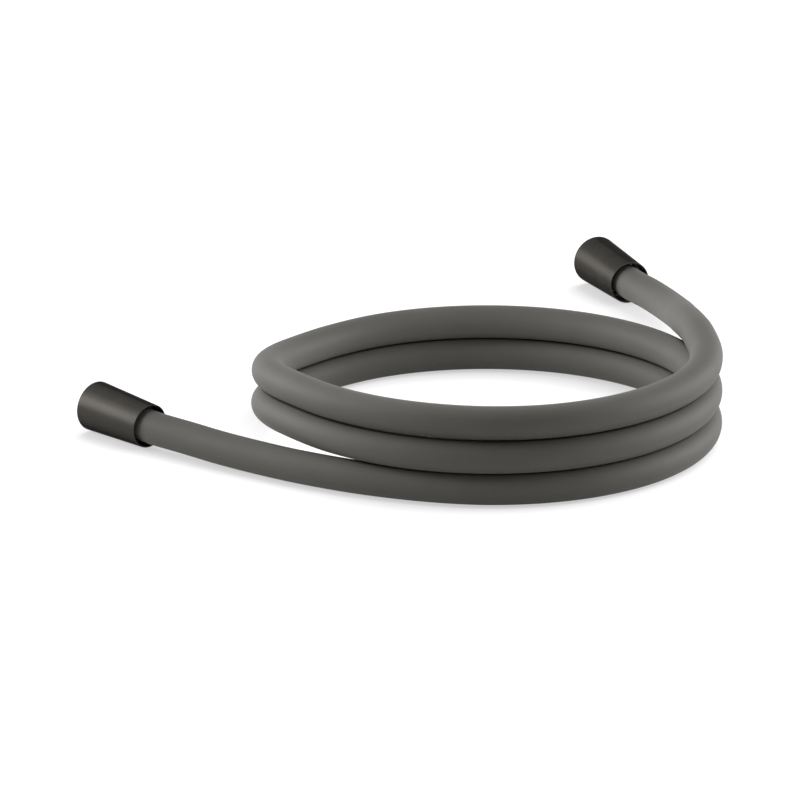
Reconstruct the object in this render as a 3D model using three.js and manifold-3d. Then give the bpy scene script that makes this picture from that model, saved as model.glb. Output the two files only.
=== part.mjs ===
// A shower hose, lying in two and a quarter stacked turns, with a conical swivel nut at each end.
// Millimetres, +Z up. The turns and both nuts lie on the plane Z = 0, with the origin under the
// middle of the whole.
import * as THREE from "three";
import { mergeVertices } from "three/addons/utils/BufferGeometryUtils.js";
import Module from "manifold-3d";

// Hose
const hoseDiameter = 16;
const hoseBore = 9.5;
const hoseSides = 12;
const hoseSteps = 80;

// Gaps: between pieces that lie still on each other, and round pieces that turn
const clearance = 0.3;
const runningGap = 0.35;
const edgeBreak = 0.15;
const cutterMargin = 1;

// Coil: angles run from the front (-Y) towards the right (+X), and a turn climbs one layer on the left
const coilRadius = 105.8;
const layerGap = 0.34;
const climbStart = 227;
const climbEnd = 308;
const coilFirstAngle = -15;
const coilLastAngle = 810;
const coilAngleStep = 15;

// How far the turns stray from a true circle: angle along the winding and distance outside the circle
const coilSway = [
  [-30, -1],
  [40, 1.35],
  [110, 0.3],
  [220, -0.5],
  [310, 0.3],
  [380, 2.35],
  [470, 0.2],
  [570, -0.8],
  [630, -0.3],
  [690, -1.3],
  [745, 1.8],
  [840, 0.25],
];

// Tails between the coil and the nuts: angle, distance outside the coil's circle, share of the way
// from the tail's layer of the coil to the height of its nut
const leftTail = [
  [-77, 43.2, 0.64],
  [-69.1, 29.1, 0.24],
  [-59.9, 17.6, 0.04],
  [-49.7, 9.5, 0],
  [-33.5, 2.1, 0],
];
const rightTail = [
  [108.3, 3.4, 0.02],
  [118.7, 9.7, 0.11],
  [127.3, 19.1, 0.235],
  [134.2, 31, 0.385],
  [139.7, 44.6, 0.54],
  [144.4, 59.1, 0.695],
  [148.7, 74.5, 0.83],
  [152.8, 90.2, 0.93],
  [156.9, 105.9, 0.99],
];

// Where each nut's small end is round the coil, and where its mouth points, from +X towards +Y
const leftNutAngle = -83.1;
const leftNutOutside = 57.9;
const leftNutHeading = 134.2;
const rightNutAngle = 160.8;
const rightNutOutside = 119.9;
const rightNutHeading = 115.5;

// Conical swivel nut, for a half inch pipe thread
const nutLength = 39.2;
const nutSmallDiameter = 21.5;
const nutBigDiameter = 24.5;
const nutEdgeRound = 0.8;
const nutRimWidth = 0.35;
const nutRimRound = 0.3;
const nutRecessDepth = 8;
const threadMinorDiameter = 18.7;
const threadMouthDiameter = 21;
const threadReliefDiameter = 20.4;
const threadReliefLength = 2.5;

// Fittings inside the nut
const nippleBore = 6.2;
const nippleStemDiameter = 7.9;
const nippleStemInset = 0.6;
const nippleStemRunout = 1.5;
const nippleBarbHeight = 0.3;
const nippleBarbCount = 4;
const nippleNeckStep = 1.6;
const nippleFlangeThickness = 2.4;
const crimpInset = 1.1;
const crimpPinch = 0.6;
const crimpWall = 0.65;
const crimpLip = 1;
const crimpLength = 16.4;
const crimpGrooves = 3;
const crimpGrooveDepth = 0.25;
const washerThickness = 2.5;
const washerHole = 9.2;

const hoseRadius = hoseDiameter / 2;
const pitch = hoseDiameter + layerGap;

// Radii that fit one inside the next
const pinchedRadius = hoseRadius - crimpPinch;
const crimpInner = pinchedRadius + clearance;
const crimpOuter = crimpInner + crimpWall;
const nutBoreRadius = crimpOuter + runningGap;
const flangeRadius = threadMinorDiameter / 2 - clearance;
const neckRadius = nippleStemDiameter / 2 + nippleNeckStep;

// Stations along a nut's axis, from its small end to its mouth
const crimpStart = nutRecessDepth + crimpInset;
const crimpEnd = crimpStart + crimpLength;
const hoseEnd = crimpEnd - crimpLip - clearance;
const flangeStart = crimpEnd + clearance;
const flangeEnd = flangeStart + nippleFlangeThickness;
const washerStart = flangeEnd + clearance;
const washerEnd = washerStart + washerThickness;

const hoseMaterial = new THREE.MeshStandardMaterial({ color: 0x4c4a46, roughness: 0.55, metalness: 0 });
const nutMaterial = new THREE.MeshStandardMaterial({ color: 0x3b3936, roughness: 0.38, metalness: 0.7 });
const brassMaterial = new THREE.MeshStandardMaterial({ color: 0xb08d4a, roughness: 0.35, metalness: 1 });
const crimpMaterial = new THREE.MeshStandardMaterial({ color: 0x8f918f, roughness: 0.35, metalness: 1 });
const rubberMaterial = new THREE.MeshStandardMaterial({ color: 0x1d1d1e, roughness: 0.8, metalness: 0 });

const wasm = await Module();
wasm.setup();

// A ring-shaped body turned about +Y from an outline of radius and station pairs
function turned(outline, segments) {
  const points = outline.map(([radius, station]) => new THREE.Vector2(radius, station));
  points.push(points[0].clone());
  return new THREE.LatheGeometry(points, segments);
}

function toSolid(geometry) {
  const plain = geometry.clone();
  plain.deleteAttribute("normal");
  plain.deleteAttribute("uv");
  const merged = mergeVertices(plain, 1e-4);
  const vertProperties = new Float32Array(merged.attributes.position.array);
  const triVerts = new Uint32Array(merged.index.array);
  return new wasm.Manifold(new wasm.Mesh({ numProp: 3, vertProperties, triVerts }));
}

function toGeometry(solid) {
  const mesh = solid.getMesh();
  const geometry = new THREE.BufferGeometry();
  geometry.setAttribute("position", new THREE.BufferAttribute(mesh.vertProperties, 3));
  geometry.setIndex(new THREE.BufferAttribute(mesh.triVerts, 1));
  geometry.computeVertexNormals();
  return geometry;
}

// How far outside its circle the coil lies at an angle along the winding
function swayAt(degrees) {
  const next = coilSway.findIndex(([angle]) => angle > degrees);
  const [startAngle, startSway] = coilSway[next - 1];
  const [endAngle, endSway] = coilSway[next];
  const share = THREE.MathUtils.smoothstep(degrees, startAngle, endAngle);
  return THREE.MathUtils.lerp(startSway, endSway, share);
}

// A point at an angle round the coil, so far outside its circle, at a height
function around(degrees, outside, height) {
  const angle = THREE.MathUtils.degToRad(degrees);
  const radius = coilRadius + outside;
  return new THREE.Vector3(radius * Math.sin(angle), -radius * Math.cos(angle), height);
}

function heading(degrees, rise) {
  const turn = THREE.MathUtils.degToRad(degrees);
  const lift = THREE.MathUtils.degToRad(rise);
  return new THREE.Vector3(Math.cos(turn) * Math.cos(lift), Math.sin(turn) * Math.cos(lift), Math.sin(lift));
}

// Both nuts lie on their sides, so their axes rise towards the wide mouth by half the cone's angle
const nutTaper = THREE.MathUtils.radToDeg(Math.atan((nutBigDiameter - nutSmallDiameter) / 2 / nutLength));
const nutHeight = (nutSmallDiameter / 2) * Math.cos(THREE.MathUtils.degToRad(nutTaper));
const topLayerHeight = hoseRadius + 2 * pitch;

const leftEnd = {
  start: around(leftNutAngle, leftNutOutside, nutHeight),
  axis: heading(leftNutHeading, nutTaper),
};
const rightEnd = {
  start: around(rightNutAngle, rightNutOutside, nutHeight),
  axis: heading(rightNutHeading, nutTaper),
};

// Centreline: left nut, left tail, turns, right tail, right nut
function insideNut(end) {
  const stations = [hoseEnd, hoseEnd / 2, 2, -5];
  return stations.map((station) => end.start.clone().addScaledVector(end.axis, station));
}

function coilPoints() {
  const points = [];
  for (let degrees = coilFirstAngle; degrees <= coilLastAngle; degrees += coilAngleStep) {
    const turn = Math.floor(degrees / 360);
    const climb = THREE.MathUtils.smoothstep(degrees - turn * 360, climbStart, climbEnd);
    points.push(around(degrees, swayAt(degrees), hoseRadius + pitch * (turn + climb)));
  }
  return points;
}

function tailPoints(tail, layerHeight) {
  const change = nutHeight - layerHeight;
  return tail.map(([degrees, outside, share]) => around(degrees, outside, layerHeight + share * change));
}

const route = new THREE.CatmullRomCurve3([
  ...insideNut(leftEnd),
  ...tailPoints(leftTail, hoseRadius),
  ...coilPoints(),
  ...tailPoints(rightTail, topLayerHeight),
  ...insideNut(rightEnd).reverse(),
]);
route.arcLengthDivisions = 4000;

function circlePoints(radius) {
  const points = [];
  for (let side = 0; side < hoseSides; side += 1) {
    const angle = (side / hoseSides) * Math.PI * 2;
    points.push(new THREE.Vector2(radius * Math.cos(angle), radius * Math.sin(angle)));
  }
  return points;
}

// A group whose +Y runs from the nut's small end to its mouth
function endFrame(end) {
  const frame = new THREE.Group();
  frame.position.copy(end.start);
  frame.quaternion.setFromUnitVectors(new THREE.Vector3(0, 1, 0), end.axis);
  frame.updateMatrixWorld();
  return frame;
}

// The hose is one extruded tube, pressed narrower at each end where the sleeve is crimped over it
function hoseGeometry(ends) {
  const section = new THREE.Shape(circlePoints(hoseRadius));
  section.holes.push(new THREE.Path(circlePoints(hoseBore / 2)));
  const tube = new THREE.ExtrudeGeometry(section, {
    steps: hoseSteps,
    bevelEnabled: false,
    extrudePath: route,
  });
  let solid = toSolid(tube);
  for (const end of ends) {
    const pinch = turned(
      [
        [pinchedRadius, crimpStart - clearance],
        [hoseRadius + cutterMargin, crimpStart - clearance],
        [hoseRadius + cutterMargin, hoseEnd + cutterMargin],
        [pinchedRadius, hoseEnd + cutterMargin],
      ],
      32,
    );
    pinch.applyMatrix4(endFrame(end).matrixWorld);
    solid = solid.subtract(toSolid(pinch));
  }
  return toGeometry(solid);
}

// The nut's outer radius at a station
function coneRadius(station) {
  return THREE.MathUtils.lerp(nutSmallDiameter, nutBigDiameter, station / nutLength) / 2;
}

function nutGeometry() {
  const rimOuter = coneRadius(0) - nutRimRound;
  const rimInner = rimOuter - nutRimWidth;
  const outline = [
    [nutBoreRadius, nutRecessDepth],
    [rimInner, nutRecessDepth],
    [rimInner, edgeBreak],
    [rimInner + edgeBreak, 0],
    [rimOuter, 0],
    [coneRadius(0) - 0.1, 0.12],
    [coneRadius(nutRimRound), nutRimRound],
  ];
  const edgeStart = nutLength - nutEdgeRound;
  for (let step = 0; step <= 4; step += 1) {
    const angle = (step / 4) * (Math.PI / 2);
    const inward = nutEdgeRound * (1 - Math.cos(angle));
    outline.push([coneRadius(edgeStart) - inward, edgeStart + nutEdgeRound * Math.sin(angle)]);
  }
  const mouth = threadMouthDiameter / 2;
  const minor = threadMinorDiameter / 2;
  const reliefEnd = crimpEnd + threadReliefLength;
  outline.push([mouth, nutLength]);
  outline.push([minor, nutLength - (mouth - minor)]);
  outline.push([minor, reliefEnd + 0.5]);
  outline.push([threadReliefDiameter / 2, reliefEnd]);
  outline.push([threadReliefDiameter / 2, crimpEnd]);
  outline.push([nutBoreRadius, crimpEnd]);
  return turned(outline, 48);
}

function nippleGeometry() {
  const bore = nippleBore / 2;
  const stem = nippleStemDiameter / 2;
  const stemStart = crimpStart + nippleStemInset;
  const neckStart = hoseEnd + clearance;
  const barbLength = (neckStart - stemStart - nippleStemRunout) / nippleBarbCount;
  const outline = [
    [bore, stemStart],
    [stem - edgeBreak, stemStart],
  ];
  for (let barb = 0; barb < nippleBarbCount; barb += 1) {
    const top = stemStart + (barb + 1) * barbLength;
    outline.push([stem + nippleBarbHeight, top - nippleBarbHeight]);
    outline.push([stem, top]);
  }
  outline.push([stem, neckStart]);
  outline.push([neckRadius, neckStart]);
  outline.push([neckRadius, flangeStart]);
  outline.push([flangeRadius, flangeStart]);
  outline.push([flangeRadius, flangeEnd]);
  outline.push([bore, flangeEnd]);
  return turned(outline, 32);
}

// A crimped sleeve with an inward lip behind the nipple's flange and pressed grooves round it
function crimpGeometry() {
  const outline = [
    [crimpInner, crimpStart],
    [crimpOuter - edgeBreak, crimpStart],
    [crimpOuter, crimpStart + edgeBreak],
  ];
  const spacing = crimpLength / (crimpGrooves + 1);
  for (let groove = 1; groove <= crimpGrooves; groove += 1) {
    const middle = crimpStart + groove * spacing;
    outline.push([crimpOuter, middle - 1]);
    outline.push([crimpOuter - crimpGrooveDepth, middle - 0.5]);
    outline.push([crimpOuter - crimpGrooveDepth, middle + 0.5]);
    outline.push([crimpOuter, middle + 1]);
  }
  outline.push([crimpOuter, crimpEnd]);
  outline.push([neckRadius + clearance, crimpEnd]);
  outline.push([neckRadius + clearance, crimpEnd - crimpLip]);
  outline.push([crimpInner, crimpEnd - crimpLip]);
  return turned(outline, 32);
}

function washerGeometry() {
  const outline = [
    [washerHole / 2, washerStart],
    [flangeRadius, washerStart],
    [flangeRadius, washerEnd],
    [washerHole / 2, washerEnd],
  ];
  return turned(outline, 32);
}

function addPiece(parent, name, geometry, material) {
  const mesh = new THREE.Mesh(geometry, material.clone());
  mesh.name = name;
  parent.add(mesh);
}

function endFitting(prefix, end) {
  const frame = endFrame(end);
  addPiece(frame, `${prefix}_swivel_nut`, nutGeometry(), nutMaterial);
  addPiece(frame, `${prefix}_sealing_washer`, washerGeometry(), rubberMaterial);
  addPiece(frame, `${prefix}_nipple`, nippleGeometry(), brassMaterial);
  addPiece(frame, `${prefix}_crimp_sleeve`, crimpGeometry(), crimpMaterial);
  return frame;
}

const showerHose = new THREE.Group();
addPiece(showerHose, "hose", hoseGeometry([leftEnd, rightEnd]), hoseMaterial);
showerHose.add(endFitting("left", leftEnd));
showerHose.add(endFitting("right", rightEnd));

// Put the origin on the floor under the middle of everything
const bounds = new THREE.Box3().setFromObject(showerHose, true);
const middle = bounds.getCenter(new THREE.Vector3());
showerHose.position.set(-middle.x, -middle.y, -bounds.min.z);

export default showerHose;
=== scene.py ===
import math

import bpy
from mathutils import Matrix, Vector


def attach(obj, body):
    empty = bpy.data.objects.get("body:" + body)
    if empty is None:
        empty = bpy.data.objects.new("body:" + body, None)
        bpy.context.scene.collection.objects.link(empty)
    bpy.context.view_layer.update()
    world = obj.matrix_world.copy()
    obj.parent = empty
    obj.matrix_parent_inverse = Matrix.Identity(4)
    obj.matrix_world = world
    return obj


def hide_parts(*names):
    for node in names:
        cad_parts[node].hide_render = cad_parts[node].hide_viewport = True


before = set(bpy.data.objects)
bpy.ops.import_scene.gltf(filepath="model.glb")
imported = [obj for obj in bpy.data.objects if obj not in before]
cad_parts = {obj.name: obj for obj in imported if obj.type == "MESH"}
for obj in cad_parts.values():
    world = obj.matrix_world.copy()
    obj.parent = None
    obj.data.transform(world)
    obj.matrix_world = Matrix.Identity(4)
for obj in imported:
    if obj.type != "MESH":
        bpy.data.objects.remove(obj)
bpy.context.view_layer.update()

# Sizes, in millimetres

COIL_CENTRE = Vector((42.024, -68.915, 0.056))
COIL_RADIUS = 105.8
LAYER_PITCH = 16.34
CAD_HOSE_RADIUS = 8.0
CLIMB_START = 227.0
CLIMB_END = 308.0
COIL_FIRST_ANGLE = -15
COIL_LAST_ANGLE = 810
COIL_ANGLE_STEP = 15

# Angle along the winding, and how far the turns stray outside a true circle there
COIL_SWAY = [
    (-30, -1),
    (40, 1.35),
    (110, 0.3),
    (220, -0.5),
    (310, 0.3),
    (380, 2.35),
    (470, 0.2),
    (570, -0.8),
    (630, -0.3),
    (690, -1.3),
    (745, 1.8),
    (840, 0.25),
]

# Angle round the coil from the front (-Y) towards the right (+X), distance outside the coil's
# circle, and share of the way from the layer's height to the nut's height
LEFT_TAIL = [
    (-77, 43.2, 0.64),
    (-69.1, 29.1, 0.24),
    (-59.9, 17.6, 0.04),
    (-49.7, 9.5, 0),
    (-33.5, 2.1, 0),
]
RIGHT_TAIL = [
    (108.3, 3.4, 0.02),
    (118.7, 9.7, 0.11),
    (127.3, 19.1, 0.235),
    (134.2, 31, 0.385),
    (139.7, 44.6, 0.54),
    (144.4, 59.1, 0.695),
    (148.7, 74.5, 0.83),
    (152.8, 90.2, 0.93),
    (156.9, 105.9, 0.99),
]
LEFT_NUT = {"angle": -83.1, "outside": 57.9, "heading": 134.2}
RIGHT_NUT = {"angle": 160.8, "outside": 119.9, "heading": 115.5}

NUT_LENGTH = 39.2
NUT_SMALL_RADIUS = 10.75
NUT_BIG_RADIUS = 12.25
NUT_EDGE_ROUND = 0.8
NUT_RIM_ROUND = 0.3
NUT_RIM_WIDTH = 0.35
NUT_RECESS_DEPTH = 8.0
NUT_BORE_RADIUS = 8.7
THREAD_MINOR_RADIUS = 9.35
THREAD_MAJOR_RADIUS = 10.45
THREAD_PITCH = 1.814
THREAD_MOUTH_RADIUS = 10.5
RELIEF_RADIUS = 10.2
RELIEF_END = 28.0

CRIMP_START = 9.1
CRIMP_END = 25.5
CRIMP_INNER = 7.7
CRIMP_OUTER = 8.35
HOSE_END = 24.2
FLANGE_START = 25.8
FLANGE_END = 28.2
WASHER_START = 28.5
WASHER_END = 31.0
FLANGE_RADIUS = 9.05
WASHER_HOLE_RADIUS = 4.6
NIPPLE_BORE_RADIUS = 3.1
STEM_RADIUS = 3.95
NECK_RADIUS = 5.55

# The nut's corners: how much each one cuts off, and how far the cut's middle lies from the corner
SHOULDER_CUT = 0.3
SHOULDER_CUT_MIDDLE = 0.08
RECESS_EDGE_CUT = 0.15
RECESS_EDGE_MIDDLE = 0.04
RECESS_FILLET = 0.3
RECESS_FILLET_MIDDLE = 0.09
RELIEF_FILLET = 0.2
RELIEF_FILLET_MIDDLE = 0.06
MOUTH_EDGE_CUT = 0.12
MOUTH_EDGE_MIDDLE = 0.03
LIP_ROUND = 0.2
LIP_STEPS = 4
EDGE_STEPS = 8

# Rows of points beside the nut's corners, which keep the shading of its plain sides even
BORE_ROW_FROM_SHOULDER = 1.5
BORE_ROW_FROM_RECESS = 0.6
LIP_ROW = 0.35
RIM_ROW = 0.05
SIDE_FIRST_ROW = 0.7
SIDE_ROWS_INSET = 1.5
SIDE_ROWS = 12
EDGE_ROW = 0.3

CRIMP_WALL = 1.0
CRIMP_GROOVES = 3
GROOVE_DEPTH = 0.25
GROOVE_HALF_WIDTH = 1.0
GROOVE_FLOOR_HALF_WIDTH = 0.5
STEM_BARBS = 4
BARB_HEIGHT = 0.3
BARB_BACK_LENGTH = 0.3
STEM_END_CLEARANCE = 0.6
NECK_CLEARANCE = 0.3
NECK_PLAIN_LENGTH = 1.5
BORE_CHAMFER = 0.5
END_CHAMFER = 0.15
TURNED_EDGE_ROUND = 0.12
WASHER_EDGE_ROUND = 0.3
WASHER_EDGE_STEPS = 4
TURNED_SIDES = 128

# The thread's flanks: how steep they are, and how far their ends are rounded
THREAD_STEEPNESS = 1.35
THREAD_ROUNDING = 0.35
THREAD_RUN_OUT = 0.8
THREAD_ROW_SPACING = 0.1

# The visible hose, a little wider than its solid, and narrower where the sleeve holds it
HOSE_RADIUS = 8.06
HOSE_BORE_RADIUS = 4.75
PINCHED_RADIUS = 7.4
PINCH_BEFORE_SLEEVE_END = 0.6
PINCH_PAST_SLEEVE_END = 1.4
HOSE_SIDES = 40
HOSE_RING_SPACING = 2.4
CLOSE_RING_SPACING = 0.8
CLOSE_RINGS_LENGTH = 28.0

# Where the route passes along a nut's axis, from deep inside it to just outside its small end
ROUTE_IN_NUT = (HOSE_END, HOSE_END / 2, 2, -5)
ROUTE_STEPS = 24

MM = 0.001


# Camera

CAMERA_AIM = Vector((-41.72, 0, 17.68))
CAMERA_TARGET = (COIL_CENTRE + CAMERA_AIM) * MM
CAMERA_DISTANCE = 4.9
CAMERA_ELEVATION = math.radians(17.98)
CAMERA_LENS = 455.2

camera_data = bpy.data.cameras.new("camera")
camera_data.lens = CAMERA_LENS
camera_data.sensor_width = 36
camera_data.clip_start = 0.1
camera_data.clip_end = 100
camera = bpy.data.objects.new("camera", camera_data)
bpy.context.scene.collection.objects.link(camera)
away = Vector((0, -math.cos(CAMERA_ELEVATION), math.sin(CAMERA_ELEVATION)))
camera.location = CAMERA_TARGET + away * CAMERA_DISTANCE
camera.rotation_euler = (-away).to_track_quat("-Z", "Y").to_euler()
bpy.context.scene.camera = camera


# Route of the hose

def around(degrees, outside, height):
    angle = math.radians(degrees)
    radius = COIL_RADIUS + outside
    return COIL_CENTRE + Vector((radius * math.sin(angle), -radius * math.cos(angle), height))


def smoothstep(x, low, high):
    t = min(max((x - low) / (high - low), 0), 1)
    return t * t * (3 - 2 * t)


NUT_TAPER = math.atan((NUT_BIG_RADIUS - NUT_SMALL_RADIUS) / NUT_LENGTH)
NUT_HEIGHT = NUT_SMALL_RADIUS * math.cos(NUT_TAPER)


def end_of(nut):
    heading = math.radians(nut["heading"])
    axis = Vector((
        math.cos(heading) * math.cos(NUT_TAPER),
        math.sin(heading) * math.cos(NUT_TAPER),
        math.sin(NUT_TAPER),
    ))
    return around(nut["angle"], nut["outside"], NUT_HEIGHT), axis


def inside_nut(end):
    start, axis = end
    return [start + axis * station for station in ROUTE_IN_NUT]


def sway_at(degrees):
    for (angle, sway), (next_angle, next_sway) in zip(COIL_SWAY, COIL_SWAY[1:]):
        if degrees < next_angle:
            return sway + (next_sway - sway) * smoothstep(degrees, angle, next_angle)


def coil_points():
    points = []
    for degrees in range(COIL_FIRST_ANGLE, COIL_LAST_ANGLE + 1, COIL_ANGLE_STEP):
        turn = math.floor(degrees / 360)
        climb = smoothstep(degrees - turn * 360, CLIMB_START, CLIMB_END)
        height = CAD_HOSE_RADIUS + LAYER_PITCH * (turn + climb)
        points.append(around(degrees, sway_at(degrees), height))
    return points


def tail_points(tail, layer_height):
    change = NUT_HEIGHT - layer_height
    return [around(angle, outside, layer_height + share * change) for angle, outside, share in tail]


def centripetal(points, steps):
    """Samples of the centripetal Catmull-Rom curve through the points, its ends extended straight."""
    padded = [points[0] * 2 - points[1]] + points + [points[-1] * 2 - points[-2]]
    samples = []
    for p0, p1, p2, p3 in zip(padded, padded[1:], padded[2:], padded[3:]):
        d0 = math.sqrt((p1 - p0).length)
        d1 = math.sqrt((p2 - p1).length)
        d2 = math.sqrt((p3 - p2).length)
        t1 = ((p1 - p0) / d0 - (p2 - p0) / (d0 + d1) + (p2 - p1) / d1) * d1
        t2 = ((p2 - p1) / d1 - (p3 - p1) / (d1 + d2) + (p3 - p2) / d2) * d1
        for step in range(steps):
            t = step / steps
            square = -3 * p1 + 3 * p2 - 2 * t1 - t2
            cube = 2 * p1 - 2 * p2 + t1 + t2
            samples.append(p1 + t1 * t + square * t ** 2 + cube * t ** 3)
    samples.append(points[-1].copy())
    return samples


def lengths_along(points):
    lengths = [0.0]
    for a, b in zip(points, points[1:]):
        lengths.append(lengths[-1] + (b - a).length)
    return lengths


def resample(points, stations):
    """Points at the given lengths along a dense line of points."""
    lengths = lengths_along(points)
    result = []
    index = 0
    for station in stations:
        while index < len(lengths) - 2 and lengths[index + 1] < station:
            index += 1
        share = (station - lengths[index]) / (lengths[index + 1] - lengths[index])
        result.append(points[index].lerp(points[index + 1], min(max(share, 0), 1)))
    return result


left_end = end_of(LEFT_NUT)
right_end = end_of(RIGHT_NUT)
route = centripetal(
    inside_nut(left_end)
    + tail_points(LEFT_TAIL, CAD_HOSE_RADIUS)
    + coil_points()
    + tail_points(RIGHT_TAIL, CAD_HOSE_RADIUS + 2 * LAYER_PITCH)
    + list(reversed(inside_nut(right_end))),
    ROUTE_STEPS,
)
hose_length = lengths_along(route)[-1]


# Mesh helpers

def add_object(name, mesh, material):
    mesh.materials.append(material)
    for polygon in mesh.polygons:
        polygon.use_smooth = True
    piece = bpy.data.objects.new(name, mesh)
    bpy.context.scene.collection.objects.link(piece)
    return piece


def closed_mesh(name, rings, uvs):
    """A mesh from rings of points. Each ring joins the next one, and the last joins the first."""
    sides = len(rings[0])
    vertices = [point for ring in rings for point in ring]
    faces = []
    corners = []
    count = len(rings)
    for i in range(count):
        a = i * sides
        b = (i + 1) % count * sides
        u0 = uvs[i]
        u1 = uvs[i + 1] if i + 1 < count else uvs[i] + (uvs[i] - uvs[i - 1])
        for j in range(sides):
            k = (j + 1) % sides
            faces.append((a + j, b + j, b + k, a + k))
            v0 = j / sides
            v1 = (j + 1) / sides
            corners += [(v0, u0), (v0, u1), (v1, u1), (v1, u0)]
    mesh = bpy.data.meshes.new(name)
    mesh.from_pydata(vertices, [], faces)
    layer = mesh.uv_layers.new(name="uv")
    for loop, corner in zip(layer.data, corners):
        loop.uv = corner
    mesh.validate()
    mesh.update()
    return mesh


def axis_frame(end):
    start, axis = end
    side = axis.cross(Vector((0, 0, 1))).normalized()
    return start, axis, side, side.cross(axis).normalized()


def turned(name, outline, end, material):
    """A ring-shaped body turned about a nut's axis. Radii may be functions of the angle."""
    start, axis, side, up = axis_frame(end)
    rings = []
    along = [0.0]
    for index, (radius, station) in enumerate(outline):
        ring = []
        centre = start + axis * station
        for j in range(TURNED_SIDES):
            angle = 2 * math.pi * j / TURNED_SIDES
            r = radius(angle) if callable(radius) else radius
            ring.append((centre + side * (r * math.cos(angle)) + up * (r * math.sin(angle))) * MM)
        rings.append(ring)
        if index:
            before = rings[-2][0]
            along.append(along[-1] + (ring[0] - before).length / MM)
    return add_object(name, closed_mesh(name, rings, along), material)


# The most that a corner's arc and its support take of the side that they lie on
CORNER_SHARE = 0.3
SUPPORT_SHARE = 0.1


def rounded(outline, cut, steps=3, support=0.12):
    """The closed outline with each corner turned into a small arc between two support points."""
    result = []
    count = len(outline)
    for index, corner in enumerate(outline):
        corner = Vector(corner)
        before = Vector(outline[index - 1]) - corner
        after = Vector(outline[(index + 1) % count]) - corner
        size = min(cut, CORNER_SHARE * before.length, CORNER_SHARE * after.length)
        into = corner + before.normalized() * size
        out = corner + after.normalized() * size
        result.append(into + before.normalized() * min(support, SUPPORT_SHARE * before.length))
        for step in range(steps + 1):
            t = step / steps
            result.append(into * (1 - t) ** 2 + corner * (2 * t * (1 - t)) + out * t ** 2)
        result.append(out + after.normalized() * min(support, SUPPORT_SHARE * after.length))
    return [tuple(point) for point in result]


# Materials

def new_material(name):
    material = bpy.data.materials.new(name)
    material.use_nodes = True
    nodes = material.node_tree.nodes
    return material, nodes, material.node_tree.links, nodes["Principled BSDF"]


def noise(nodes, links, vector, scale, detail=3.0, roughness=0.5):
    node = nodes.new("ShaderNodeTexNoise")
    node.inputs["Scale"].default_value = scale
    node.inputs["Detail"].default_value = detail
    node.inputs["Roughness"].default_value = roughness
    links.new(vector, node.inputs["Vector"])
    return node.outputs["Fac"]


def stretched(nodes, links, vector, scale):
    node = nodes.new("ShaderNodeMapping")
    node.inputs["Scale"].default_value = scale
    links.new(vector, node.inputs["Vector"])
    return node.outputs["Vector"]


def spread(nodes, links, value, low, high, start=0.3, stop=0.7):
    node = nodes.new("ShaderNodeMapRange")
    node.inputs["From Min"].default_value = start
    node.inputs["From Max"].default_value = stop
    node.inputs["To Min"].default_value = low
    node.inputs["To Max"].default_value = high
    links.new(value, node.inputs["Value"])
    return node.outputs["Result"]


def blend_colours(nodes, links, value, first, second):
    node = nodes.new("ShaderNodeMix")
    node.data_type = "RGBA"
    node.inputs[6].default_value = (*first, 1)
    node.inputs[7].default_value = (*second, 1)
    links.new(value, node.inputs[0])
    return node.outputs[2]


def bump(nodes, links, height, distance, strength, normal=None):
    node = nodes.new("ShaderNodeBump")
    node.inputs["Distance"].default_value = distance
    node.inputs["Strength"].default_value = strength
    links.new(height, node.inputs["Height"])
    if normal:
        links.new(normal, node.inputs["Normal"])
    return node.outputs["Normal"]


# Painted shade in crevices: its darkest share of the colour, and the openness from which to which it
# fades
PAINTED_CREVICE_SHADE = 0.1
PAINTED_SHADE_OPENNESS = (0.25, 0.8)
PAINTED_SHADE_SAMPLES = 4


def with_painted_crevice_shade(nodes, links, colour, reach):
    """The colour with painted shade, darker where another surface is within reach, as in the crevice
    between turns.
    """
    near = nodes.new("ShaderNodeAmbientOcclusion")
    near.samples = PAINTED_SHADE_SAMPLES
    near.inputs["Distance"].default_value = reach
    node = nodes.new("ShaderNodeMix")
    node.data_type = "RGBA"
    node.blend_type = "MULTIPLY"
    node.inputs[0].default_value = 1.0
    links.new(colour, node.inputs[6])
    shade = spread(nodes, links, near.outputs["AO"], PAINTED_CREVICE_SHADE, 1.0, *PAINTED_SHADE_OPENNESS)
    links.new(shade, node.inputs[7])
    return node.outputs[2]


# How far the roughness strays from its middle value
ROUGHNESS_SPREAD = 0.05
WHOLE_STRENGTH = 1.0


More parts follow.
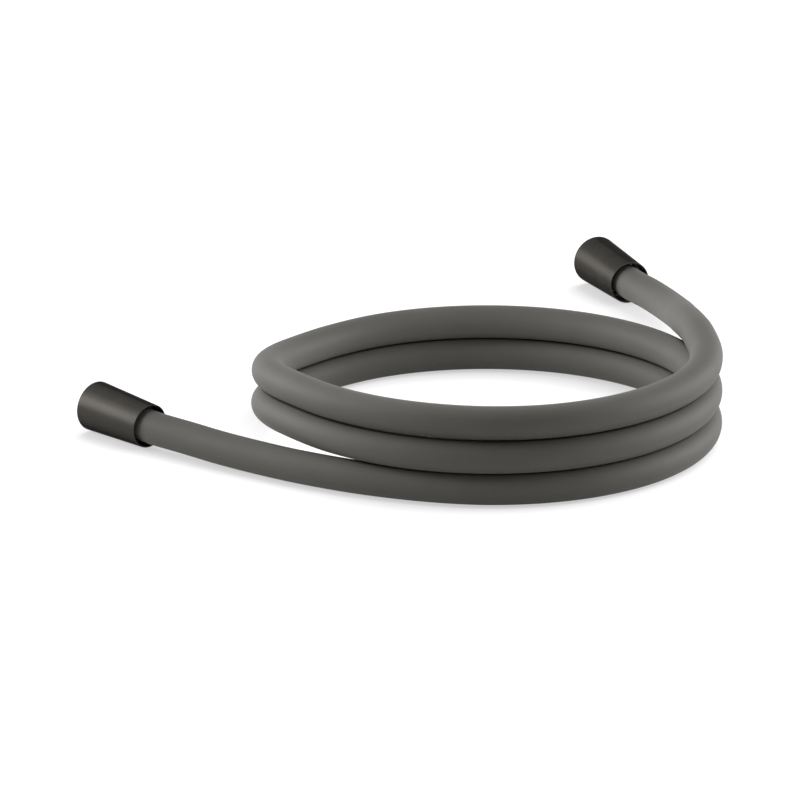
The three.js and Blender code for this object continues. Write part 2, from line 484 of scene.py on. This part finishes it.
def surface(name, first, second, roughness, metallic, tone_scale, grain_scale, grain_depth,
            lines_scale=None, lines_depth=0.0, specular=0.5, edge_tint=1.0, painted_shade_reach=0.0):
    """A material with slow changes of tone, a fine grain, faint lines along the piece's uv, and
    painted shade in crevices where a reach is given.
    """
    material, nodes, links, shader = new_material(name)
    coordinates = nodes.new("ShaderNodeTexCoord")
    position = coordinates.outputs["Object"]
    tone = noise(nodes, links, position, tone_scale, detail=4.0)
    grain = noise(nodes, links, position, grain_scale, detail=2.0)
    colour = blend_colours(nodes, links, spread(nodes, links, tone, 0, 1), first, second)
    # Painted shade: the colour is darkened in crevices, where a reach is given.
    if painted_shade_reach:
        colour = with_painted_crevice_shade(nodes, links, colour, painted_shade_reach)
    links.new(colour, shader.inputs["Base Color"])
    smooth = roughness - ROUGHNESS_SPREAD
    rough = roughness + ROUGHNESS_SPREAD
    links.new(spread(nodes, links, grain, smooth, rough), shader.inputs["Roughness"])
    normal = bump(nodes, links, grain, grain_depth, WHOLE_STRENGTH)
    if lines_scale:
        along_piece = stretched(nodes, links, coordinates.outputs["UV"], lines_scale)
        lines = noise(nodes, links, along_piece, scale=1.0)
        normal = bump(nodes, links, lines, lines_depth, WHOLE_STRENGTH, normal)
    links.new(normal, shader.inputs["Normal"])
    shader.inputs["Metallic"].default_value = metallic
    shader.inputs["Specular IOR Level"].default_value = specular
    shader.inputs["Specular Tint"].default_value = (edge_tint, edge_tint, edge_tint, 1)
    return material


# The hose's colour carries painted shade in the crevices between its turns and where it lies on the
# floor.
hose_material = surface(
    "hose_pvc",
    (0.104, 0.0985, 0.0885),
    (0.112, 0.1065, 0.0965),
    roughness=0.65,
    metallic=0.0,
    tone_scale=45,
    grain_scale=2600,
    grain_depth=0.00001,
    lines_scale=(90, 0.004, 1),
    lines_depth=0.000006,
    specular=0.3,
    painted_shade_reach=0.0014,
)
nut_material = surface(
    "nut_satin",
    (0.053, 0.050, 0.046),
    (0.059, 0.056, 0.052),
    roughness=0.38,
    metallic=0.5,
    tone_scale=120,
    grain_scale=5200,
    grain_depth=0.000008,
    lines_scale=(3, 9, 1),
    lines_depth=0.000003,
    specular=0.0,
    edge_tint=0.2,
)
nipple_material = surface(
    "nipple_brass",
    (0.62, 0.47, 0.23),
    (0.72, 0.57, 0.31),
    roughness=0.28,
    metallic=1.0,
    tone_scale=160,
    grain_scale=3000,
    grain_depth=0.000004,
    lines_scale=(2, 12, 1),
    lines_depth=0.000006,
)
crimp_material = surface(
    "crimp_steel",
    (0.50, 0.51, 0.51),
    (0.60, 0.61, 0.61),
    roughness=0.30,
    metallic=1.0,
    tone_scale=160,
    grain_scale=3000,
    grain_depth=0.000004,
    lines_scale=(2, 9, 1),
    lines_depth=0.000005,
)
washer_material = surface(
    "washer_rubber",
    (0.016, 0.016, 0.017),
    (0.026, 0.026, 0.027),
    roughness=0.75,
    metallic=0.0,
    tone_scale=200,
    grain_scale=2200,
    grain_depth=0.00002,
)


# Hose

def hose_radius_at(station):
    """The outer radius at a length from the nearer end, narrower where the sleeve holds it."""
    sleeve_end = HOSE_END - CRIMP_START
    widening = smoothstep(
        station, sleeve_end - PINCH_BEFORE_SLEEVE_END, sleeve_end + PINCH_PAST_SLEEVE_END
    )
    return PINCHED_RADIUS + (HOSE_RADIUS - PINCHED_RADIUS) * widening


def ring_stations():
    """Lengths along the hose for its rings: close together inside the nuts, wider between them."""
    close_rings = int(CLOSE_RINGS_LENGTH / CLOSE_RING_SPACING)
    fine = [CLOSE_RING_SPACING * step for step in range(close_rings)]
    between = hose_length - 2 * CLOSE_RINGS_LENGTH
    count = math.ceil(between / HOSE_RING_SPACING)
    middle = [CLOSE_RINGS_LENGTH + between * step / count for step in range(count + 1)]
    return fine + middle + [hose_length - station for station in reversed(fine)]


def make_hose():
    stations = ring_stations()
    centres = resample(route, stations)
    before = [centres[0]] + centres[:-1]
    after = centres[1:] + [centres[-1]]
    tangents = [(b - a).normalized() for a, b in zip(before, after)]
    side = tangents[0].cross(Vector((0, 0, 1))).normalized()
    outer = []
    inner = []
    for centre, tangent, station in zip(centres, tangents, stations):
        side = (side - tangent * side.dot(tangent)).normalized()
        up = side.cross(tangent)
        radius = hose_radius_at(min(station, hose_length - station))
        for rings, size in ((outer, radius), (inner, HOSE_BORE_RADIUS)):
            ring = []
            for j in range(HOSE_SIDES):
                angle = 2 * math.pi * j / HOSE_SIDES
                offset = side * (size * math.cos(angle)) + up * (size * math.sin(angle))
                ring.append((centre + offset) * MM)
            rings.append(ring)
    rings = outer + list(reversed(inner))
    mesh = closed_mesh("shower_hose", rings, stations + list(reversed(stations)))
    return add_object("shower_hose", mesh, hose_material), [centre * MM for centre in centres]


hose, hose_path = make_hose()
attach(hose, "hose_with_fittings")
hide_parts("hose")


# End fittings

def cone_radius(station):
    return NUT_SMALL_RADIUS + (NUT_BIG_RADIUS - NUT_SMALL_RADIUS) * station / NUT_LENGTH


def thread_row(station):
    """The thread's radius round the bore at a station, cut back by the mouth's chamfer."""
    chamfer = THREAD_MOUTH_RADIUS - (NUT_LENGTH - station)

    def radius(angle):
        turn = (station / THREAD_PITCH - angle / (2 * math.pi)) % 1
        flank = THREAD_STEEPNESS * abs(2 * turn - 1) - (THREAD_STEEPNESS - 1) / 2
        ridge = min(max(flank, 0), 1)
        eased = ridge * ridge * (3 - 2 * ridge)
        depth = eased * THREAD_ROUNDING + ridge * (1 - THREAD_ROUNDING)
        run_out = smoothstep(station, RELIEF_END, RELIEF_END + THREAD_RUN_OUT)
        thread = THREAD_MINOR_RADIUS + (THREAD_MAJOR_RADIUS - THREAD_MINOR_RADIUS) * depth
        return max(RELIEF_RADIUS + (thread - RELIEF_RADIUS) * run_out, chamfer)

    return radius


def quarter_turn(steps):
    return [math.pi / 2 * step / steps for step in range(steps + 1)]


def nut_outline():
    rim_outer = cone_radius(0) - NUT_RIM_ROUND
    rim_inner = rim_outer - NUT_RIM_WIDTH
    outline = [
        (NUT_BORE_RADIUS, CRIMP_END - SHOULDER_CUT),
        (NUT_BORE_RADIUS, CRIMP_END - BORE_ROW_FROM_SHOULDER),
        (NUT_BORE_RADIUS, NUT_RECESS_DEPTH + BORE_ROW_FROM_RECESS),
        (NUT_BORE_RADIUS, NUT_RECESS_DEPTH + RECESS_EDGE_CUT),
        (NUT_BORE_RADIUS + RECESS_EDGE_MIDDLE, NUT_RECESS_DEPTH + RECESS_EDGE_MIDDLE),
        (NUT_BORE_RADIUS + RECESS_EDGE_CUT, NUT_RECESS_DEPTH),
        (rim_inner - RECESS_FILLET, NUT_RECESS_DEPTH),
        (rim_inner - RECESS_FILLET_MIDDLE, NUT_RECESS_DEPTH - RECESS_FILLET_MIDDLE),
        (rim_inner, NUT_RECESS_DEPTH - RECESS_FILLET),
        (rim_inner, NUT_RECESS_DEPTH / 2),
        (rim_inner, LIP_ROW),
    ]
    for turn in quarter_turn(LIP_STEPS):
        outline.append((
            rim_inner + LIP_ROUND * (1 - math.cos(turn)),
            LIP_ROUND * (1 - math.sin(turn)),
        ))
    outline.append((rim_outer - RIM_ROW, 0))
    for turn in quarter_turn(EDGE_STEPS):
        outline.append((
            rim_outer + NUT_RIM_ROUND * math.sin(turn),
            NUT_RIM_ROUND * (1 - math.cos(turn)),
        ))
    outline.append((cone_radius(SIDE_FIRST_ROW), SIDE_FIRST_ROW))
    edge = NUT_LENGTH - NUT_EDGE_ROUND
    for row in range(SIDE_ROWS + 1):
        station = SIDE_ROWS_INSET + (edge - 2 * SIDE_ROWS_INSET) * row / SIDE_ROWS
        outline.append((cone_radius(station), station))
    outline.append((cone_radius(edge - EDGE_ROW), edge - EDGE_ROW))
    for turn in quarter_turn(EDGE_STEPS):
        outline.append((
            cone_radius(edge) - NUT_EDGE_ROUND * (1 - math.cos(turn)),
            edge + NUT_EDGE_ROUND * math.sin(turn),
        ))
    outline.append((THREAD_MOUTH_RADIUS + MOUTH_EDGE_CUT, NUT_LENGTH))
    outline.append((THREAD_MOUTH_RADIUS + MOUTH_EDGE_MIDDLE, NUT_LENGTH - MOUTH_EDGE_MIDDLE))
    first_row = NUT_LENGTH - THREAD_ROW_SPACING
    for row in range(round((first_row - RELIEF_END) / THREAD_ROW_SPACING) + 1):
        station = first_row - row * THREAD_ROW_SPACING
        outline.append((thread_row(station), station))
    outline += [
        (RELIEF_RADIUS, RELIEF_END - THREAD_ROW_SPACING),
        (RELIEF_RADIUS, CRIMP_END + RELIEF_FILLET),
        (RELIEF_RADIUS - RELIEF_FILLET_MIDDLE, CRIMP_END + RELIEF_FILLET_MIDDLE),
        (RELIEF_RADIUS - RELIEF_FILLET, CRIMP_END),
        (NUT_BORE_RADIUS + SHOULDER_CUT, CRIMP_END),
        (NUT_BORE_RADIUS + SHOULDER_CUT_MIDDLE, CRIMP_END - SHOULDER_CUT_MIDDLE),
    ]
    return outline


def nipple_outline():
    stem_start = CRIMP_START + STEM_END_CLEARANCE
    neck_start = HOSE_END + NECK_CLEARANCE
    barb_length = (neck_start - stem_start - NECK_PLAIN_LENGTH) / STEM_BARBS
    outline = [(NIPPLE_BORE_RADIUS, stem_start), (STEM_RADIUS - END_CHAMFER, stem_start)]
    for barb in range(STEM_BARBS):
        top = stem_start + (barb + 1) * barb_length
        outline += [(STEM_RADIUS + BARB_HEIGHT, top - BARB_BACK_LENGTH), (STEM_RADIUS, top)]
    outline += [
        (STEM_RADIUS, neck_start),
        (NECK_RADIUS, neck_start),
        (NECK_RADIUS, FLANGE_START),
        (FLANGE_RADIUS, FLANGE_START),
        (FLANGE_RADIUS, FLANGE_END),
        (NIPPLE_BORE_RADIUS + BORE_CHAMFER, FLANGE_END),
        (NIPPLE_BORE_RADIUS, FLANGE_END - BORE_CHAMFER),
    ]
    return rounded(outline, TURNED_EDGE_ROUND)


def crimp_outline():
    outline = [
        (CRIMP_INNER, CRIMP_START),
        (CRIMP_OUTER - END_CHAMFER, CRIMP_START),
        (CRIMP_OUTER, CRIMP_START + END_CHAMFER),
    ]
    spacing = (CRIMP_END - CRIMP_START) / (CRIMP_GROOVES + 1)
    for groove in range(1, CRIMP_GROOVES + 1):
        middle = CRIMP_START + groove * spacing
        outline += [
            (CRIMP_OUTER, middle - GROOVE_HALF_WIDTH),
            (CRIMP_OUTER - GROOVE_DEPTH, middle - GROOVE_FLOOR_HALF_WIDTH),
            (CRIMP_OUTER - GROOVE_DEPTH, middle + GROOVE_FLOOR_HALF_WIDTH),
            (CRIMP_OUTER, middle + GROOVE_HALF_WIDTH),
        ]
    outline += [
        (CRIMP_OUTER, CRIMP_END),
        (NECK_RADIUS + NECK_CLEARANCE, CRIMP_END),
        (NECK_RADIUS + NECK_CLEARANCE, CRIMP_END - CRIMP_WALL),
        (CRIMP_INNER, CRIMP_END - CRIMP_WALL),
    ]
    return rounded(outline, TURNED_EDGE_ROUND)


def washer_outline():
    outline = [
        (WASHER_HOLE_RADIUS, WASHER_START),
        (FLANGE_RADIUS, WASHER_START),
        (FLANGE_RADIUS, WASHER_END),
        (WASHER_HOLE_RADIUS, WASHER_END),
    ]
    return rounded(outline, WASHER_EDGE_ROUND, WASHER_EDGE_STEPS)


for prefix, end in (("left", left_end), ("right", right_end)):
    for kind, outline, material, slot, body in (
        ("swivel_nut", nut_outline(), nut_material, "nut", prefix + "_nut"),
        ("sealing_washer", washer_outline(), washer_material, "washer", "hose_with_fittings"),
        ("nipple", nipple_outline(), nipple_material, "nipple", "hose_with_fittings"),
        ("crimp_sleeve", crimp_outline(), crimp_material, "crimp", "hose_with_fittings"),
    ):
        piece = turned("turned_" + prefix + "_" + kind, outline, end, material)
        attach(piece, body)
        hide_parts(prefix + "_" + kind)


# Floor, background and light

def camera_or_glossy(nodes, links):
    """1 for the camera's rays and for those that mirror or show through in a piece, and else 0."""
    path = nodes.new("ShaderNodeLightPath")
    total = path.outputs["Is Camera Ray"]
    for name in ("Is Glossy Ray", "Is Transmission Ray"):
        node = nodes.new("ShaderNodeMath")
        node.operation = "MAXIMUM"
        links.new(total, node.inputs[0])
        links.new(path.outputs[name], node.inputs[1])
        total = node.outputs[0]
    return total


FLOOR_HALF = 20.0
FLOOR_DROP = 0.00006

# The floor as the camera sees it shines by itself, with a painted shadow where a piece lies close
# over it, leaning to one side by a tilted direction, and takes a little of the lamps' light and
# shadow too. It gives the pieces the light of a plain pale floor.
FLOOR_SHADOW = 0.3
FLOOR_PAINTED_SHADOW_LEVEL = 0.54
FLOOR_OPEN = 0.95
FLOOR_OPENNESS = (0.3, 0.78)
FLOOR_PAINTED_SHADOW_REACH = 0.036
FLOOR_SAMPLES = 16
FLOOR_PAINTED_SHADOW_LEAN = (0.5, 0.08, 0.86)
FLOOR_BOUNCE = 0.8

AMBIENT_STRENGTH = 0.09
BACKGROUND_STRENGTH = 1.0

floor_mesh = bpy.data.meshes.new("floor")
floor_corners = [
    (x * FLOOR_HALF, y * FLOOR_HALF, -FLOOR_DROP) for x, y in ((-1, -1), (1, -1), (1, 1), (-1, 1))
]
floor_mesh.from_pydata(floor_corners, [], [(0, 1, 2, 3)])
floor = bpy.data.objects.new("floor", floor_mesh)
bpy.context.scene.collection.objects.link(floor)
floor_material = bpy.data.materials.new("floor")
floor_material.use_nodes = True
nodes = floor_material.node_tree.nodes
links = floor_material.node_tree.links
nodes.clear()
output = nodes.new("ShaderNodeOutputMaterial")
bounce = nodes.new("ShaderNodeBsdfDiffuse")
bounce.inputs["Color"].default_value = (FLOOR_BOUNCE, FLOOR_BOUNCE, FLOOR_BOUNCE, 1)
shadowed = nodes.new("ShaderNodeBsdfDiffuse")
shadowed.inputs["Color"].default_value = (FLOOR_SHADOW, FLOOR_SHADOW, FLOOR_SHADOW, 1)
# Painted shadow: the floor's own glow is dimmed where a piece lies close over it, more on one side
# than the other.
painted_shadow_nearness = nodes.new("ShaderNodeAmbientOcclusion")
painted_shadow_nearness.samples = FLOOR_SAMPLES
painted_shadow_nearness.inputs["Distance"].default_value = FLOOR_PAINTED_SHADOW_REACH
tilt = nodes.new("ShaderNodeCombineXYZ")
for socket, share in zip(tilt.inputs, FLOOR_PAINTED_SHADOW_LEAN):
    socket.default_value = share
links.new(tilt.outputs["Vector"], painted_shadow_nearness.inputs["Normal"])
lift = nodes.new("ShaderNodeEmission")
floor_glow_with_painted_shadow = spread(nodes, links, painted_shadow_nearness.outputs["AO"], FLOOR_PAINTED_SHADOW_LEVEL, FLOOR_OPEN, *FLOOR_OPENNESS)
links.new(floor_glow_with_painted_shadow, lift.inputs["Strength"])
both = nodes.new("ShaderNodeAddShader")
links.new(shadowed.outputs[0], both.inputs[0])
links.new(lift.outputs[0], both.inputs[1])
choice = nodes.new("ShaderNodeMixShader")
links.new(camera_or_glossy(nodes, links), choice.inputs[0])
links.new(bounce.outputs[0], choice.inputs[1])
links.new(both.outputs[0], choice.inputs[2])
links.new(choice.outputs[0], output.inputs["Surface"])
floor_mesh.materials.append(floor_material)

world = bpy.data.worlds.new("world")
bpy.context.scene.world = world
world.use_nodes = True
nodes = world.node_tree.nodes
links = world.node_tree.links
nodes.clear()
output = nodes.new("ShaderNodeOutputWorld")
ambient = nodes.new("ShaderNodeBackground")
ambient.inputs["Strength"].default_value = AMBIENT_STRENGTH
white = nodes.new("ShaderNodeBackground")
white.inputs["Color"].default_value = (1, 1, 1, 1)
white.inputs["Strength"].default_value = BACKGROUND_STRENGTH
choice = nodes.new("ShaderNodeMixShader")
links.new(camera_or_glossy(nodes, links), choice.inputs[0])
links.new(ambient.outputs[0], choice.inputs[1])
links.new(white.outputs[0], choice.inputs[2])
links.new(choice.outputs[0], output.inputs["Surface"])


def softbox(name, location, target, width, height, power):
    data = bpy.data.lights.new(name, "AREA")
    data.shape = "RECTANGLE"
    data.size = width
    data.size_y = height
    data.energy = power
    lamp = bpy.data.objects.new(name, data)
    lamp.location = location
    lamp.rotation_euler = (Vector(target) - Vector(location)).to_track_quat("-Z", "Y").to_euler()
    lamp.visible_camera = False
    bpy.context.scene.collection.objects.link(lamp)


# Each lamp's name, place, the point it faces, its width and height in metres, and its power in watts
LAMPS = [
    ("light_left", (-1.6, -0.05, 0.62), (0, 0, 0), 0.8, 0.78, 13.3),
    ("light_back_left", (-1.5, 0.75, 0.4), (0, 0, 0), 0.8, 0.78, 13),
    ("light_right", (1.6, 0.35, 0.4), (0, 0, 0), 1.6, 0.78, 29),
    ("light_high_left", (-1.5, -0.2, 1.5), (0, 0, 0), 1.2, 1.0, 11.5),
    ("light_top", (0, 0.6, 2.2), (0, 0, 0), 2.0, 1.6, 5.5),
    ("light_front", (0, -2.2, 0.5), (0, 0, 0), 1.6, 0.8, 3.4),
    ("light_inside", (0.04, -0.15, 0.13), (0.04, 0.05, 0.02), 0.16, 0.06, 0.09),
]
for lamp in LAMPS:
    softbox(*lamp)

bpy.context.scene.view_settings.view_transform = "Standard"
